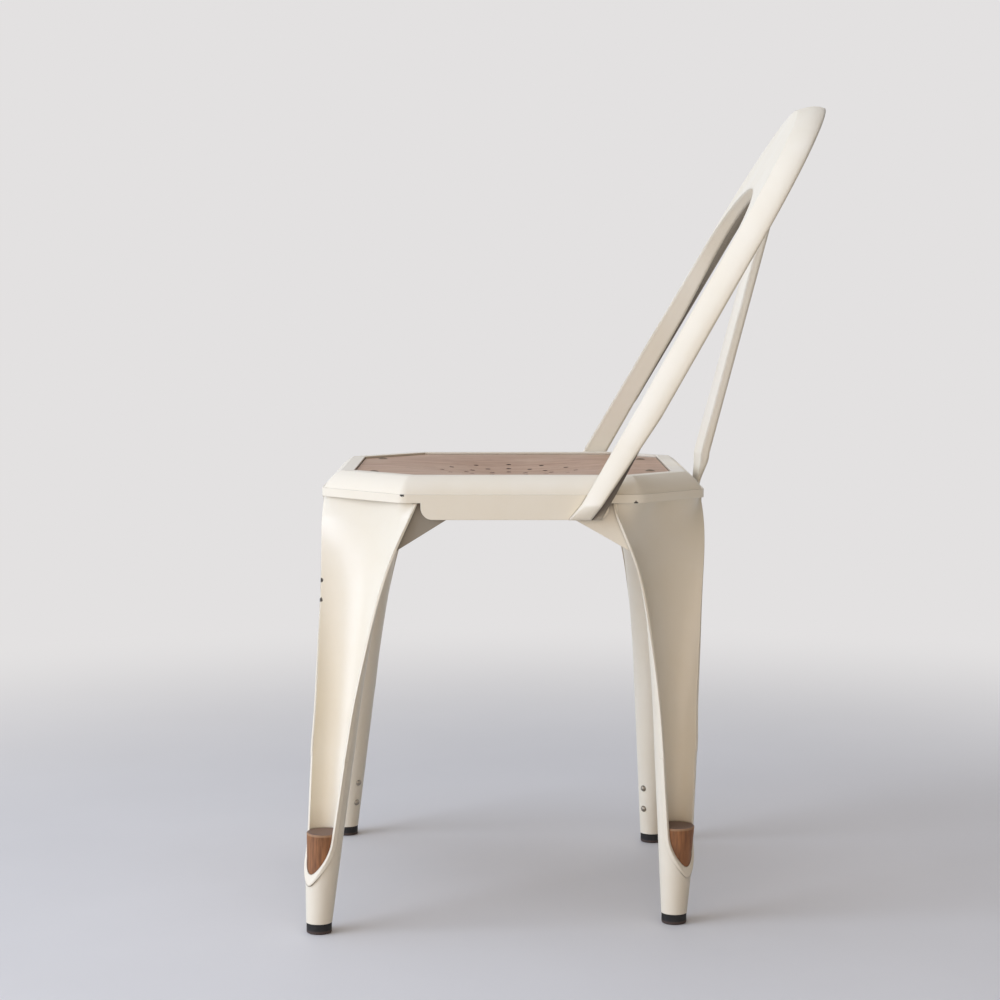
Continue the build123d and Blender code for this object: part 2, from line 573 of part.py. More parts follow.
def build():
    """All pieces by node name, about the middle of the seat."""
    corners = {"front": Corner(-1, FRONT_CORNER, FRONT_SPLAY, FRONT_SCOOP, FRONT_FLAP, FRONT_GUSSET),
               "rear": Corner(1, REAR_CORNER, REAR_SPLAY, REAR_SCOOP, REAR_FLAP, REAR_GUSSET)}
    bolts = [Pos(x, y, 0) * panel_bolt() for x, y in bolt_places()]
    nuts = [Pos(x, y, 0) * panel_nut() for x, y in bolt_places()]
    nodes = {"seat_pan": [seat_pan()], "seat_panel": [seat_panel()], "panel_bolts": bolts, "panel_nuts": nuts,
             "back_hoop": [back_hoop()], "back_bar": [back_bar()]}
    nails = []
    for end, corner in corners.items():
        pieces = {"leg": [corner.leg()], "leg_gussets": corner.gussets(), "leg_peg": [corner.peg()],
                  "peg_screws": corner.screws(), "rubber_foot": [corner.rubber_foot()]}
        for name, solids in pieces.items():
            nodes[f"{name}_{end}_left"] = solids
            nodes[f"{name}_{end}_right"] = [mirror(solid, Plane.YZ) for solid in solids]
        nails += [corner.nail(), mirror(corner.nail(), Plane.YZ)]
    nodes["foot_nails"] = nails
    return nodes


def main():
    """Write one file for each node, with the origin under the middle of the chair."""
    nodes = {name: Compound([solid for piece in pieces for solid in piece.solids()])
             for name, pieces in build().items()}
    box = Compound(list(nodes.values())).bounding_box()
    shift = Pos(0, -(box.min.Y + box.max.Y) / 2, 0)
    os.makedirs("parts", exist_ok=True)
    for name, node in nodes.items():
        export_step(shift * node, f"parts/{name}.step")


main()
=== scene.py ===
"""Looks of a stacking dining chair: cream enamel on pressed steel, a plywood seat and wooden pegs."""

import logging
import math
from abc import ABC, abstractmethod
from dataclasses import dataclass
from enum import Enum
from typing import Any, NamedTuple

import bpy
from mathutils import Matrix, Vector


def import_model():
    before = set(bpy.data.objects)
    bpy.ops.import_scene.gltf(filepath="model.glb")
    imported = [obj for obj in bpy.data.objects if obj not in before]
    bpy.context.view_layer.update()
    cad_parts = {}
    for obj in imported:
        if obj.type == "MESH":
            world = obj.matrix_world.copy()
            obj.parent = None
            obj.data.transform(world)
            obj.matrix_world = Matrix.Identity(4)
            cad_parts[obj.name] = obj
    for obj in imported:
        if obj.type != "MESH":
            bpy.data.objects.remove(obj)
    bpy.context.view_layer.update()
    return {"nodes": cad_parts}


Point = tuple[float, float, float]

LOG = logging.getLogger("stacking_chair")
MM = 0.001                          # metres in a millimetre
RAYS = 8                            # samples of each occlusion and bevel node
BACKDROP = "#e3e1e1"


class End(Enum):
    """The two ends of the chair that have a pair of legs."""

    FRONT = "front"
    REAR = "rear"


class Side(Enum):
    """The sitter's left and right."""

    LEFT = "left"
    RIGHT = "right"


class Ramp(NamedTuple):
    """How a share grows with a measure: where it starts, where it is full, and how large it then is."""

    start: float
    full: float
    share: float = 1.0


class Relief(NamedTuple):
    """A fine relief: its depth in mm and how strongly it shows."""

    depth_mm: float
    strength: float


def linear(colour: str) -> tuple[float, float, float, float]:
    """Turn an sRGB hex colour into linear values.

    Args:
        colour: Six hex digits after a hash sign.

    Returns:
        Red, green, blue and an alpha of one.
    """
    shares = [int(colour[place:place + 2], 16) / 255 for place in (1, 3, 5)]
    red, green, blue = (s / 12.92 if s <= 0.04045 else ((s + 0.055) / 1.055) ** 2.4 for s in shares)
    return red, green, blue, 1.0


def per_metre(size_mm: float) -> float:
    """Texture scale that gives a pattern of this size, for coordinates in metres."""
    return 1 / (size_mm * MM)


def add_node(tree: bpy.types.NodeTree, kind: str, inputs: dict[Any, Any] | None = None,
             **settings: Any) -> bpy.types.Node:
    """Add a node with its settings, and fill or link its inputs.

    Args:
        tree: Node tree that gets the node.
        kind: Node type, without the ShaderNode prefix.
        inputs: Values or output sockets by input name or number.
        **settings: Properties of the node.

    Returns:
        The new node.
    """
    node = tree.nodes.new("ShaderNode" + kind)
    for name, value in settings.items():
        setattr(node, name, value)
    for key, value in (inputs or {}).items():
        if isinstance(value, bpy.types.NodeSocket):
            tree.links.new(value, node.inputs[key])
        else:
            node.inputs[key].default_value = value
    return node


@dataclass(frozen=True)
class Finish(ABC):
    """A material with its name and its typical optical values."""

    name: str
    roughness: float
    ior: float = 1.5
    metallic: float = 0.0

    def material(self) -> bpy.types.Material:
        """Make the material and let the finish draw its pattern.

        Returns:
            The new material.
        """
        material = bpy.data.materials.new(self.name)
        material.use_nodes = True
        tree = material.node_tree
        tree.nodes.clear()
        shader = add_node(tree, "BsdfPrincipled", {
            "Roughness": self.roughness, "IOR": self.ior, "Metallic": self.metallic})
        add_node(tree, "OutputMaterial", {"Surface": shader.outputs[0]})
        self.draw(tree, shader)
        return material

    @abstractmethod
    def draw(self, tree: bpy.types.NodeTree, shader: bpy.types.Node) -> None:
        """Draw the pattern of the finish and link it to its shader.

        Args:
            tree: Node tree of the material.
            shader: The shader that gets the pattern.
        """


@dataclass(frozen=True)
class Chip:
    """A spot where the enamel has come off, in the chair's frame, in mm."""

    place: Point
    radius: float


@dataclass(frozen=True)
class CreamEnamel(Finish):
    """Cream enamel sprayed on sheet steel: satin, slightly uneven, with painted shade in its corners and
    along its joints, and a few chips.
    """

    cream: str = "#ebe3d2"
    warm: str = "#e2d6bd"
    # the next two colours are painted shade, in corners and along joints
    shade_colour: str = "#5f4a33"
    joint_shade: str = "#65543a"
    bare: str = "#3d3731"
    patch_mm: float = 90.0                      # size of the warmer and duller patches
    patches: tuple[float, float] = (0.3, 0.7)   # noise in the glossiest and in the dullest patches
    gloss: tuple[float, float] = (-0.05, 0.08)  # change of roughness in them
    corner_mm: float = 16.0                     # how far from a corner the painted shade reaches
    corner: Ramp = Ramp(0.6, 0.12, 0.92)        # painted shade in corners by openness
    own_corners: bool = False                   # whether only the piece's own folds count
    joint_mm: float = 2.6                       # width of the painted shade along a joint
    joint: Ramp = Ramp(0.74, 0.3, 0.85)         # painted shade along a joint by openness
    edge_mm: float = 0.9                        # radius of the folded edges
    wave_mm: float = 55.0                       # width of the sheet's waves
    wave: Relief = Relief(2.0, 0.25)
    peel_mm: float = 2.2                        # orange peel of the sprayed paint
    peel: Relief = Relief(0.3, 0.05)
    ragged_mm: float = 1.6                      # size of the notches in a chip's rim
    chips: tuple[Chip, ...] = ()

    def draw(self, tree: bpy.types.NodeTree, shader: bpy.types.Node) -> None:
        """Draw uneven cream with its painted shade and chips, its gloss and its relief.

        Args:
            tree: Node tree of the enamel.
            shader: The shader that gets the pattern.
        """
        place = add_node(tree, "TexCoord").outputs["Object"]
        patches = add_node(tree, "TexNoise", {
            "Vector": place, "Scale": per_metre(self.patch_mm), "Detail": 4.0, "Roughness": 0.6})
        paint = add_node(tree, "Mix", {
            "Factor": patches.outputs["Fac"], "A": linear(self.cream), "B": linear(self.warm)},
            data_type="RGBA")
        painted_shade = self.draw_painted_shade(tree, paint.outputs["Result"])
        chipped = self.draw_chips(tree, place, painted_shade)
        tree.links.new(chipped, shader.inputs["Base Color"])
        gloss = add_node(tree, "MapRange", {
            "Value": patches.outputs["Fac"], "From Min": self.patches[0], "From Max": self.patches[1],
            "To Min": self.roughness + self.gloss[0], "To Max": self.roughness + self.gloss[1]})
        tree.links.new(gloss.outputs["Result"], shader.inputs["Roughness"])
        tree.links.new(self.draw_relief(tree, place), shader.inputs["Normal"])

    def draw_painted_shade(self, tree: bpy.types.NodeTree, paint: bpy.types.NodeSocket) -> bpy.types.NodeSocket:
        """Paint shade into the corners and along the joints.

        Args:
            tree: Node tree of the enamel.
            paint: Colour of the clean paint.

        Returns:
            The colour with its painted shade.
        """
        # painted shade: the less open the surface, the darker the paint
        corner = add_node(tree, "AmbientOcclusion", {"Distance": self.corner_mm * MM}, samples=RAYS,
                          only_local=self.own_corners)
        depth = add_node(tree, "MapRange", {
            "Value": corner.outputs["AO"], "From Min": self.corner.start, "From Max": self.corner.full,
            "To Max": self.corner.share})
        corner_shaded = add_node(tree, "Mix", {
            "Factor": depth.outputs["Result"], "A": paint, "B": linear(self.shade_colour)}, data_type="RGBA")
        joint = add_node(tree, "AmbientOcclusion", {"Distance": self.joint_mm * MM}, samples=RAYS)
        line = add_node(tree, "MapRange", {
            "Value": joint.outputs["AO"], "From Min": self.joint.start, "From Max": self.joint.full,
            "To Max": self.joint.share})
        joint_shaded = add_node(tree, "Mix", {
            "Factor": line.outputs["Result"], "A": corner_shaded.outputs["Result"], "B": linear(self.joint_shade)},
            data_type="RGBA")
        return joint_shaded.outputs["Result"]

    def draw_chips(self, tree: bpy.types.NodeTree, place: bpy.types.NodeSocket,
                   colour: bpy.types.NodeSocket) -> bpy.types.NodeSocket:
        """Show bare metal at each chip.

        Args:
            tree: Node tree of the enamel.
            place: Coordinates in the chair's frame.
            colour: Colour of the paint.

        Returns:
            The colour with its chips.
        """
        ragged = add_node(tree, "TexNoise", {
            "Vector": place, "Scale": per_metre(self.ragged_mm), "Detail": 2.0})
        for chip in self.chips:
            middle = tuple(value * MM for value in chip.place)
            away = add_node(tree, "VectorMath", {0: place, 1: middle}, operation="DISTANCE")
            # The noise is about one half, so twice the radius gives the chip its size.
            reach = add_node(tree, "Math", {
                0: ragged.outputs["Fac"], 1: 2 * chip.radius * MM}, operation="MULTIPLY")
            inside = add_node(tree, "Math", {
                0: away.outputs["Value"], 1: reach.outputs["Value"]}, operation="LESS_THAN")
            chipped = add_node(tree, "Mix", {
                "Factor": inside.outputs["Value"], "A": colour, "B": linear(self.bare)}, data_type="RGBA")
            colour = chipped.outputs["Result"]
        return colour

    def draw_relief(self, tree: bpy.types.NodeTree, place: bpy.types.NodeSocket) -> bpy.types.NodeSocket:
        """Soften the edges, and add the sheet's waves and the paint's orange peel.

        Args:
            tree: Node tree of the enamel.
            place: Coordinates in the chair's frame.

        Returns:
            The normal of the surface.
        """
        edges = add_node(tree, "Bevel", {"Radius": self.edge_mm * MM}, samples=RAYS)
        normal = edges.outputs["Normal"]
        for size_mm, relief in ((self.wave_mm, self.wave), (self.peel_mm, self.peel)):
            noise = add_node(tree, "TexNoise", {
                "Vector": place, "Scale": per_metre(size_mm), "Detail": 1.0})
            bump = add_node(tree, "Bump", {
                "Height": noise.outputs["Fac"], "Normal": normal, "Strength": relief.strength,
                "Distance": relief.depth_mm * MM})
            normal = bump.outputs["Normal"]
        return normal


@dataclass(frozen=True)
class VarnishedPlywood(Finish):
    """Face veneer under a worn clear varnish: pinkish brown, with fine pores along the grain."""

    pale: str = "#b9977c"
    dark: str = "#9a7559"
    pore: str = "#6b4c39"
    worn: str = "#c2a78f"
    # painted shade on the walls of holes and edges
    hole_shade: str = "#2b1d15"
    stretch: float = 14.0                       # length of the grain over its width
    figure_mm: float = 9.0                      # width of the veneer's figure
    figure: Ramp = Ramp(0.32, 0.68)             # pale wood by noise
    patch_mm: float = 70.0                      # size of the worn patches
    wear: Ramp = Ramp(0.5, 0.75, 0.6)           # worn wood by noise
    gloss: tuple[float, float] = (-0.1, 0.12)   # change of roughness over the patches
    pore_mm: float = 1.4                        # coarser than real pores, so that they show
    pores: Ramp = Ramp(0.56, 0.7, 0.5)          # pores by noise
    pore_relief: Relief = Relief(0.3, 0.15)
    edge_shade_mm: float = 4.0                        # how far from a hole or an edge the painted shade reaches
    edge_shade: Ramp = Ramp(0.8, 0.2, 0.7)            # painted shade by openness
    level: float = 0.6                          # a less level face is the wall of a hole or an edge

    def draw(self, tree: bpy.types.NodeTree, shader: bpy.types.Node) -> None:
        """Draw grain from front to back, pores, worn patches, and painted shade in the holes and along
        the edges.

        Args:
            tree: Node tree of the plywood.
            shader: The shader that gets the pattern.
        """
        place = add_node(tree, "TexCoord").outputs["Object"]
        along = add_node(tree, "Mapping", {"Vector": place, "Scale": (1.0, 1 / self.stretch, 1.0)})
        figure = add_node(tree, "TexNoise", {
            "Vector": along.outputs["Vector"], "Scale": per_metre(self.figure_mm), "Detail": 5.0,
            "Roughness": 0.62, "Distortion": 0.3})
        spread = add_node(tree, "MapRange", {
            "Value": figure.outputs["Fac"], "From Min": self.figure.start, "From Max": self.figure.full,
            "To Max": self.figure.share})
        wood = add_node(tree, "Mix", {
            "Factor": spread.outputs["Result"], "A": linear(self.dark), "B": linear(self.pale)},
            data_type="RGBA")
        patches = add_node(tree, "TexNoise", {
            "Vector": place, "Scale": per_metre(self.patch_mm), "Detail": 3.0})
        wear = add_node(tree, "MapRange", {
            "Value": patches.outputs["Fac"], "From Min": self.wear.start, "From Max": self.wear.full,
            "To Max": self.wear.share})
        faded = add_node(tree, "Mix", {
            "Factor": wear.outputs["Result"], "A": wood.outputs["Result"], "B": linear(self.worn)},
            data_type="RGBA")
        pores = add_node(tree, "TexNoise", {
            "Vector": along.outputs["Vector"], "Scale": per_metre(self.pore_mm), "Detail": 2.0,
            "Roughness": 0.5})
        open_pores = add_node(tree, "MapRange", {
            "Value": pores.outputs["Fac"], "From Min": self.pores.start, "From Max": self.pores.full,
            "To Max": self.pores.share})
        grained = add_node(tree, "Mix", {
            "Factor": open_pores.outputs["Result"], "A": faded.outputs["Result"], "B": linear(self.pore)},
            data_type="RGBA")
        colour = add_node(tree, "Mix", {
            "Factor": self.draw_hole_shade(tree), "A": grained.outputs["Result"], "B": linear(self.hole_shade)},
            data_type="RGBA")
        tree.links.new(colour.outputs["Result"], shader.inputs["Base Color"])
        gloss = add_node(tree, "MapRange", {
            "Value": patches.outputs["Fac"],
            "To Min": self.roughness + self.gloss[0], "To Max": self.roughness + self.gloss[1]})
        tree.links.new(gloss.outputs["Result"], shader.inputs["Roughness"])
        bump = add_node(tree, "Bump", {
            "Height": pores.outputs["Fac"], "Strength": self.pore_relief.strength,
            "Distance": self.pore_relief.depth_mm * MM})
        tree.links.new(bump.outputs["Normal"], shader.inputs["Normal"])

    def draw_hole_shade(self, tree: bpy.types.NodeTree) -> bpy.types.NodeSocket:
        """Find the walls of holes and edges, and the wood beside them, for painted shade.

        Args:
            tree: Node tree of the plywood.

        Returns:
            How much painted shade the wood gets, from zero to one.
        """
        # painted shade: darker near holes and edges, and darkest on their walls
        edge = add_node(tree, "AmbientOcclusion", {"Distance": self.edge_shade_mm * MM}, samples=RAYS)
        painted_shade = add_node(tree, "MapRange", {
            "Value": edge.outputs["AO"], "From Min": self.edge_shade.start, "From Max": self.edge_shade.full,
            "To Max": self.edge_shade.share})
        surface = add_node(tree, "NewGeometry")
        facing = add_node(tree, "SeparateXYZ", {"Vector": surface.outputs["True Normal"]})
        level = add_node(tree, "Math", {0: facing.outputs["Z"]}, operation="ABSOLUTE")
        wall = add_node(tree, "Math", {0: level.outputs["Value"], 1: self.level}, operation="LESS_THAN")
        dark = add_node(tree, "Math", {
            0: painted_shade.outputs["Result"], 1: wall.outputs["Value"]}, operation="MAXIMUM")
        return dark.outputs["Value"]


@dataclass(frozen=True)
class TurnedHardwood(Finish):
    """Stained hardwood peg: orange-brown with upright grain, and a greyed end with a lighter rim."""

    pale: str = "#9c673c"
    dark: str = "#6c4425"
    end: str = "#655046"
    rim: str = "#a98765"
    # painted shade in the corners
    corner_shade: str = "#2e2019"
    stretch: float = 10.0                       # length of the grain over its width
    grain_mm: float = 3.0                       # coarser than real grain, so that it shows
    grain: Ramp = Ramp(0.32, 0.68)              # pale wood by noise
    grain_relief: Relief = Relief(0.4, 0.2)
    rim_mm: Ramp = Ramp(96.4, 96.9, 0.6)        # lighter rim by height
    top: Ramp = Ramp(0.5, 0.95, 0.85)           # greyed end by how far a face looks up
    corner_mm: float = 7.0                      # how far from a corner the painted shade reaches
    corner: Ramp = Ramp(0.7, 0.1, 0.75)         # painted shade by openness

    def draw(self, tree: bpy.types.NodeTree, shader: bpy.types.Node) -> None:
        """Draw upright grain on the sides, a greyed end with its rim, and painted shade in the corners.

        Args:
            tree: Node tree of the hardwood.
            shader: The shader that gets the pattern.
        """
        place = add_node(tree, "TexCoord").outputs["Object"]
        along = add_node(tree, "Mapping", {"Vector": place, "Scale": (1.0, 1.0, 1 / self.stretch)})
        grain = add_node(tree, "TexNoise", {
            "Vector": along.outputs["Vector"], "Scale": per_metre(self.grain_mm), "Detail": 4.0,
            "Roughness": 0.6})
        spread = add_node(tree, "MapRange", {
            "Value": grain.outputs["Fac"], "From Min": self.grain.start, "From Max": self.grain.full,
            "To Max": self.grain.share})
        side = add_node(tree, "Mix", {
            "Factor": spread.outputs["Result"], "A": linear(self.dark), "B": linear(self.pale)},
            data_type="RGBA")
        height = add_node(tree, "SeparateXYZ", {"Vector": place})
        rim = add_node(tree, "MapRange", {
            "Value": height.outputs["Z"], "From Min": self.rim_mm.start * MM,
            "From Max": self.rim_mm.full * MM, "To Max": self.rim_mm.share})
        rimmed = add_node(tree, "Mix", {
            "Factor": rim.outputs["Result"], "A": side.outputs["Result"], "B": linear(self.rim)},
            data_type="RGBA")
        surface = add_node(tree, "NewGeometry")
        facing = add_node(tree, "SeparateXYZ", {"Vector": surface.outputs["Normal"]})
        top = add_node(tree, "MapRange", {
            "Value": facing.outputs["Z"], "From Min": self.top.start, "From Max": self.top.full,
            "To Max": self.top.share})
        colour = add_node(tree, "Mix", {
            "Factor": top.outputs["Result"], "A": rimmed.outputs["Result"], "B": linear(self.end)},
            data_type="RGBA")
        # painted shade: the less open the surface, the darker the wood
        corner = add_node(tree, "AmbientOcclusion", {"Distance": self.corner_mm * MM}, samples=RAYS)
        corner_shade = add_node(tree, "MapRange", {
            "Value": corner.outputs["AO"], "From Min": self.corner.start, "From Max": self.corner.full,
            "To Max": self.corner.share})
        painted_shade = add_node(tree, "Mix", {
            "Factor": corner_shade.outputs["Result"], "A": colour.outputs["Result"], "B": linear(self.corner_shade)},
            data_type="RGBA")
        tree.links.new(painted_shade.outputs["Result"], shader.inputs["Base Color"])
        bump = add_node(tree, "Bump", {
            "Height": grain.outputs["Fac"], "Strength": self.grain_relief.strength,
            "Distance": self.grain_relief.depth_mm * MM})
        tree.links.new(bump.outputs["Normal"], shader.inputs["Normal"])


@dataclass(frozen=True)
class MouldedRubber(Finish):
    """Moulded black rubber: matte and scuffed, with a brownish worn rim at the floor."""

    black: str = "#151313"
    scuffed: str = "#2f2c2a"
    worn: str = "#4b3c35"
    scuff_mm: float = 5.0                       # size of the scuffs
    scuffs: Ramp = Ramp(0.5, 0.75, 0.6)         # scuffs by noise
    rim_mm: Ramp = Ramp(4.0, 2.5, 0.8)          # worn rim by height
    grit_mm: float = 0.9                        # coarser than real grit, so that it shows
    grit: Relief = Relief(0.2, 0.2)

    def draw(self, tree: bpy.types.NodeTree, shader: bpy.types.Node) -> None:
        """Draw black with grey scuffs, the worn rim and a fine grit.

        Args:
            tree: Node tree of the rubber.
            shader: The shader that gets the pattern.
        """
        place = add_node(tree, "TexCoord").outputs["Object"]
        noise = add_node(tree, "TexNoise", {
            "Vector": place, "Scale": per_metre(self.scuff_mm), "Detail": 4.0})
        scuffs = add_node(tree, "MapRange", {
            "Value": noise.outputs["Fac"], "From Min": self.scuffs.start, "From Max": self.scuffs.full,
            "To Max": self.scuffs.share})
        colour = add_node(tree, "Mix", {
            "Factor": scuffs.outputs["Result"], "A": linear(self.black), "B": linear(self.scuffed)},
            data_type="RGBA")
        height = add_node(tree, "SeparateXYZ", {"Vector": place})
        rim = add_node(tree, "MapRange", {
            "Value": height.outputs["Z"], "From Min": self.rim_mm.start * MM,
            "From Max": self.rim_mm.full * MM, "To Max": self.rim_mm.share})
        rimmed = add_node(tree, "Mix", {
            "Factor": rim.outputs["Result"], "A": colour.outputs["Result"], "B": linear(self.worn)},
            data_type="RGBA")
        tree.links.new(rimmed.outputs["Result"], shader.inputs["Base Color"])
        grit = add_node(tree, "TexNoise", {"Vector": place, "Scale": per_metre(self.grit_mm)})
        bump = add_node(tree, "Bump", {
            "Height": grit.outputs["Fac"], "Strength": self.grit.strength,
            "Distance": self.grit.depth_mm * MM})
        tree.links.new(bump.outputs["Normal"], shader.inputs["Normal"])


@dataclass(frozen=True)
class Steel(Finish):
    """Steel of screws, nails, bolts and nuts: bright with zinc or browned by age, with fine mottling."""

    bright: str = "#b3aa9b"
    dull: str = "#776f64"
    mottle_mm: float = 1.5                      # size of the mottling
    gloss: tuple[float, float] = (-0.1, 0.15)   # change of roughness over it

    def draw(self, tree: bpy.types.NodeTree, shader: bpy.types.Node) -> None:
        """Draw mottled metal with uneven gloss.

        Args:
            tree: Node tree of the steel.
            shader: The shader that gets the pattern.
        """
        place = add_node(tree, "TexCoord").outputs["Object"]
        mottle = add_node(tree, "TexNoise", {
            "Vector": place, "Scale": per_metre(self.mottle_mm), "Detail": 3.0})
        colour = add_node(tree, "Mix", {
            "Factor": mottle.outputs["Fac"], "A": linear(self.bright), "B": linear(self.dull)},
            data_type="RGBA")
        tree.links.new(colour.outputs["Result"], shader.inputs["Base Color"])
        gloss = add_node(tree, "MapRange", {
            "Value": mottle.outputs["Fac"],
            "To Min": self.roughness + self.gloss[0], "To Max": self.roughness + self.gloss[1]})
        tree.links.new(gloss.outputs["Result"], shader.inputs["Roughness"])


class Palette:
    """The chair's finishes, each made once."""

    SEAT_NICKS = (Chip((191.3, -168.0, 432.6), 2.2), Chip((191.9, 61.2, 424.8), 2.0))
    LEG_NICKS = (Chip((130.0, -252.4, 341.0), 1.9), Chip((136.6, -253.0, 321.6), 2.3))

    def __init__(self) -> None:
        """Make all materials."""
        self.enamel = CreamEnamel(
            "cream_enamel_on_steel", roughness=0.34, chips=self.SEAT_NICKS + self.LEG_NICKS).material()
        # painted shade: the hoop's and bar's channels are darkened far inside
        self.channel_enamel_with_painted_shade = CreamEnamel(
            "cream_enamel_with_painted_shade_in_channels", roughness=0.34, shade_colour="#4c3a2a", corner_mm=70.0,
            corner=Ramp(0.92, 0.68, 0.92), own_corners=True, edge_mm=5.0).material()
        # a darker copy of the enamel for the front gussets: painted shade
        self.gusset_enamel_with_painted_shade = CreamEnamel(
            "enamel_with_painted_shade_on_front_gussets", roughness=0.45, cream="#988f80", warm="#8a7f6e").material()
        self.plywood = VarnishedPlywood("varnished_plywood", roughness=0.5).material()
        self.peg = TurnedHardwood("stained_hardwood", roughness=0.55).material()
        self.rubber = MouldedRubber("moulded_black_rubber", roughness=0.75).material()
        self.zinc = Steel("zinc_plated_steel", roughness=0.35, metallic=1.0).material()
        self.browned = Steel(
            "browned_steel", roughness=0.5, metallic=1.0, bright="#94836f", dull="#5a4c3f").material()


@dataclass
class SubAssembly(ABC):
    """Some nodes of the chair that are dressed together."""

    nodes: dict[str, bpy.types.Object]
    palette: Palette

    def dress(self, node: str, material: bpy.types.Material) -> None:
        """Give a node its finish.

        Args:
            node: Name of the node.
            material: Its finish.
        """
        piece = self.nodes[node]
        piece.data.materials.clear()
        piece.data.materials.append(material)
        LOG.info("dressed %s with %s", node, material.name)

    @abstractmethod
    def build(self) -> None:
        """Dress the nodes."""


@dataclass
class Seat(SubAssembly):
    """Seat pan, wooden panel and the panel's fasteners."""

    def build(self) -> None:
        """Dress the pan, the panel, the bolts and the nuts."""
        self.dress("seat_pan", self.palette.enamel)
        self.dress("seat_panel", self.palette.plywood)
        self.dress("panel_bolts", self.palette.browned)
        self.dress("panel_nuts", self.palette.browned)


@dataclass
class Back(SubAssembly):
    """Hoop and centre bar, open channels with painted shade inside."""

    def build(self) -> None:
        """Dress the hoop and the bar."""
        self.dress("back_hoop", self.palette.channel_enamel_with_painted_shade)
        self.dress("back_bar", self.palette.channel_enamel_with_painted_shade)


@dataclass
class Leg(SubAssembly):
    """One leg with its gussets, peg, screws and rubber foot."""

    end: End
    side: Side

    def build(self) -> None:
        """Dress the leg and what it carries; the front gussets get a darker enamel as painted shade."""
        corner = f"{self.end.value}_{self.side.value}"
        # the front gussets' darker enamel is painted shade
        gusset = self.palette.gusset_enamel_with_painted_shade if self.end is End.FRONT else self.palette.enamel
        self.dress(f"leg_{corner}", self.palette.enamel)
        self.dress(f"leg_gussets_{corner}", gusset)
        self.dress(f"leg_peg_{corner}", self.palette.peg)
        self.dress(f"peg_screws_{corner}", self.palette.zinc)
        self.dress(f"rubber_foot_{corner}", self.palette.rubber)


@dataclass
class FootFasteners(SubAssembly):
    """The nails that hold the rubber feet to the pegs."""

    def build(self) -> None:
        """Dress the four nails, which are one node."""
        self.dress("foot_nails", self.palette.zinc)


@dataclass(frozen=True)
class PaleFloor(Finish):
    """Smooth pale floor that fades into the backdrop."""

    grey: str = "#d8d5d1"
    cloudy: str = "#e4e1dd"
    cloud_mm: float = 400.0                     # size of the cloudy patches
    fade: Ramp = Ramp(0.5, 1.9)                 # backdrop by distance from the chair in metres

    def draw(self, tree: bpy.types.NodeTree, shader: bpy.types.Node) -> None:
        """Draw pale grey near the chair, and the backdrop's colour far from it.

        Args:
            tree: Node tree of the floor.
            shader: The shader that gets the pattern.
        """
        place = add_node(tree, "TexCoord").outputs["Object"]
        cloud = add_node(tree, "TexNoise", {
            "Vector": place, "Scale": per_metre(self.cloud_mm), "Detail": 5.0})
        colour = add_node(tree, "Mix", {
            "Factor": cloud.outputs["Fac"], "A": linear(self.grey), "B": linear(self.cloudy)},
            data_type="RGBA")
        tree.links.new(colour.outputs["Result"], shader.inputs["Base Color"])
        away = add_node(tree, "VectorMath", {0: place}, operation="LENGTH")
        fade = add_node(tree, "MapRange", {
            "Value": away.outputs["Value"], "From Min": self.fade.start, "From Max": self.fade.full,
            "To Max": self.fade.share}, interpolation_type="SMOOTHSTEP")
        glow = add_node(tree, "Emission", {"Color": linear(BACKDROP), "Strength": 1.0})
        mixed = add_node(tree, "MixShader", {
            0: fade.outputs["Result"], 1: shader.outputs[0], 2: glow.outputs[0]})
        output = next(node for node in tree.nodes if node.type == "OUTPUT_MATERIAL")
        tree.links.new(mixed.outputs[0], output.inputs["Surface"])


@dataclass(frozen=True)
class SoftLamp:
    """A rectangular lamp with soft light, in metres and watts."""

    name: str
    place: Point
    size: tuple[float, float]
    watts: float
    colour: str
    aim: Point = (0.0, 0.0, 0.45)               # the middle of the chair

    def hang(self) -> None:
        """Hang the lamp so that it points at the chair."""
        data = bpy.data.lights.new(self.name, "AREA")
        data.shape = "RECTANGLE"
        data.size, data.size_y = self.size
        data.energy = self.watts
        data.color = linear(self.colour)[:3]
        lamp = bpy.data.objects.new(self.name, data)
        lamp.location = self.place
        lamp.visible_camera = False
        towards = Vector(self.aim) - Vector(self.place)
        lamp.rotation_euler = towards.to_track_quat("-Z", "Y").to_euler()
        bpy.context.scene.collection.objects.link(lamp)


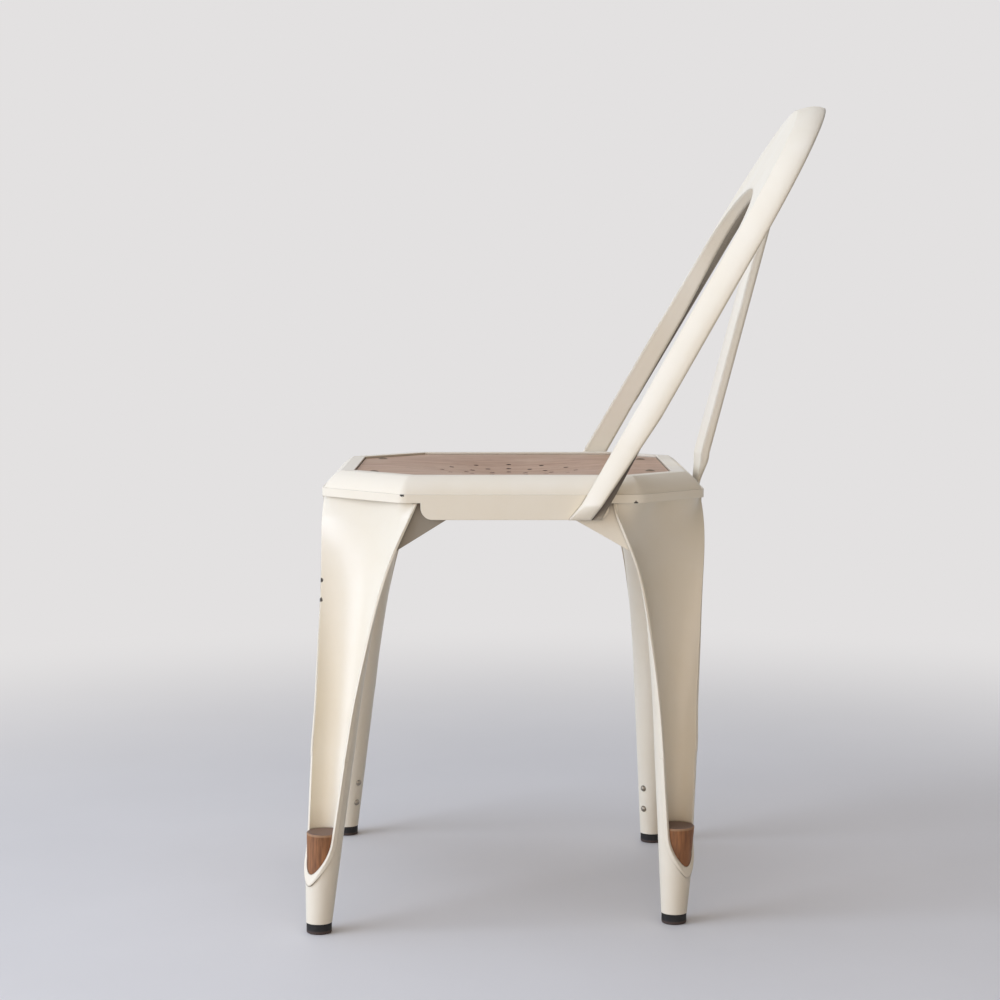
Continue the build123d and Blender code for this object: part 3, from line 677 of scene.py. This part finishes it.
@dataclass(frozen=True)
class Studio:
    """Floor, backdrop, lamps and camera."""

    floor_half: float = 12.0                    # half the floor's width in metres
    floor_roughness: float = 0.6
    lamps: tuple[SoftLamp, ...] = (
        SoftLamp("window", (1.1, -2.5, 1.3), (1.8, 1.8), 48.0, "#dbe8ff"),
        SoftLamp("ceiling", (0.3, 0.0, 2.9), (2.4, 2.4), 23.0, "#e2ecff"),
        SoftLamp("warm_wall", (3.2, -0.4, 1.0), (2.4, 2.0), 16.5, "#ffe2c0"))
    ahead: float = 1.27                         # strength of the soft light from ahead of the chair
    behind: float = 0.02                        # and from behind it
    falloff: tuple[float, float] = (-1.0, 0.5)  # Y of the directions between which it falls off
    cool: str = "#dbe8ff"                       # its colour from ahead
    warm: str = "#ffe2bf"                       # and from behind
    tint: Ramp = Ramp(-0.6, 0.3)                # warm light by the Y of a direction
    lens_share: float = 2.282638                # focal length over sensor width
    sensor_mm: float = 36.0
    camera_at: Point = (2.4185, -0.0720, 0.6287)
    camera_pitch: float = 0.09                  # radians below the horizon

    def build(self) -> None:
        """Set the whole stage."""
        self.lay_floor()
        self.light_world()
        for lamp in self.lamps:
            lamp.hang()
        self.place_camera()

    def lay_floor(self) -> None:
        """Lay a flat floor under the feet."""
        half = self.floor_half
        corners = [(-half, -half, 0), (half, -half, 0), (half, half, 0), (-half, half, 0)]
        mesh = bpy.data.meshes.new("floor")
        mesh.from_pydata(corners, [], [(0, 1, 2, 3)])
        floor = bpy.data.objects.new("floor", mesh)
        bpy.context.scene.collection.objects.link(floor)
        mesh.materials.append(PaleFloor("pale_floor", self.floor_roughness).material())

    def light_world(self) -> None:
        """Add soft light that comes mostly from ahead of the chair, and the plain backdrop behind it."""
        world = bpy.data.worlds.new("studio")
        world.use_nodes = True
        bpy.context.scene.world = world
        tree = world.node_tree
        tree.nodes.clear()
        directions = add_node(tree, "TexCoord").outputs["Generated"]
        towards = add_node(tree, "SeparateXYZ", {"Vector": directions})
        level = add_node(tree, "MapRange", {
            "Value": towards.outputs["Y"], "From Min": self.falloff[0], "From Max": self.falloff[1],
            "To Min": self.ahead, "To Max": self.behind})
        tint = add_node(tree, "MapRange", {
            "Value": towards.outputs["Y"], "From Min": self.tint.start, "From Max": self.tint.full,
            "To Max": self.tint.share})
        colour = add_node(tree, "Mix", {
            "Factor": tint.outputs["Result"], "A": linear(self.cool), "B": linear(self.warm)},
            data_type="RGBA")
        soft = add_node(tree, "Background", {
            "Color": colour.outputs["Result"], "Strength": level.outputs["Result"]})
        plain = add_node(tree, "Background", {"Color": linear(BACKDROP), "Strength": 1.0})
        path = add_node(tree, "LightPath")
        straight = add_node(tree, "Math", {
            0: path.outputs["Is Camera Ray"], 1: path.outputs["Is Transmission Ray"]},
            operation="MAXIMUM")
        seen = add_node(tree, "Math", {
            0: straight.outputs["Value"], 1: path.outputs["Is Glossy Ray"]}, operation="MAXIMUM")
        both = add_node(tree, "MixShader", {
            0: seen.outputs["Value"], 1: soft.outputs[0], 2: plain.outputs[0]})
        add_node(tree, "OutputWorld", {"Surface": both.outputs[0]})

    def place_camera(self) -> None:
        """Look at the chair's left side from a little above the seat."""
        data = bpy.data.cameras.new("camera")
        data.sensor_width = self.sensor_mm
        data.lens = self.lens_share * self.sensor_mm
        camera = bpy.data.objects.new("camera", data)
        camera.location = self.camera_at
        camera.rotation_euler = (math.pi / 2 - self.camera_pitch, 0, math.pi / 2)
        bpy.context.scene.collection.objects.link(camera)
        bpy.context.scene.camera = camera


def main() -> None:
    """Load the frame, dress the chair and set the stage."""
    logging.basicConfig(level=logging.INFO, format="%(name)s: %(message)s")
    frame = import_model()
    bpy.context.scene.view_settings.view_transform = "Standard"
    nodes = frame["nodes"]
    palette = Palette()
    parts: list[SubAssembly] = [Seat(nodes, palette), Back(nodes, palette)]
    parts += [Leg(nodes, palette, end, side) for end in End for side in Side]
    parts.append(FootFasteners(nodes, palette))
    for part in parts:
        part.build()
    Studio().build()


if __name__ == "__main__":
    main()
